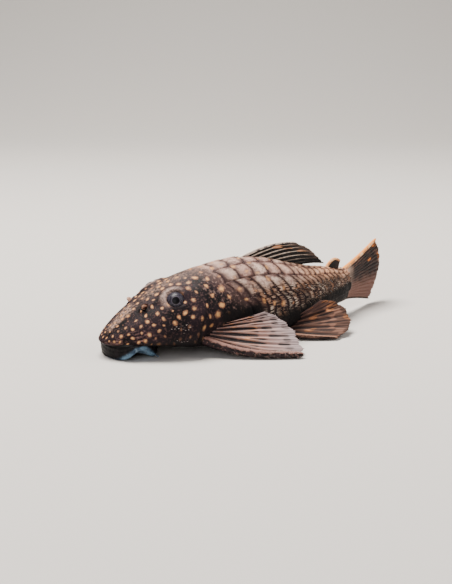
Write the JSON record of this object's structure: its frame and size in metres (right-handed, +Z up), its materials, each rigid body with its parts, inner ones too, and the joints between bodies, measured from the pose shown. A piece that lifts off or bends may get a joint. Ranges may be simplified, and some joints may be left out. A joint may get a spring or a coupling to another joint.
{
  "type": "bristlenose pleco",
  "caption": "Still, life-size model of a bristlenose catfish lying on its sucker mouth and belly, with a plated body, spread side fins and a tail swung to its right.",
  "frame": {"origin": "on the floor, at the middle of the flat that the belly rests on", "axes": "+Z up; -X is where the head points, along the head's own midline; the fish's left side faces -Y and its tail swings towards +Y"},
  "size_m": [0.1105, 0.0584, 0.0268],
  "materials": {
    "skin": "satin, rough with fine spines, dark brown with tan spots",
    "fin": "thin web with banded rays",
    "lip": "soft, bluish grey",
    "eye": "glossy"
  },
  "bodies": {
    "root": {"head": "skin", "trunk": "skin", "tail": "skin", "sucker_mouth": "lip", "eye_left": "eye", "eye_right": "eye", "pectoral_fin_left": "fin", "pectoral_fin_right": "fin", "pelvic_fin_left": "fin", "pelvic_fin_right": "fin", "dorsal_fin": "fin", "adipose_fin": "fin", "anal_fin": "fin", "caudal_fin": "fin"}
  },
  "joints": []
}
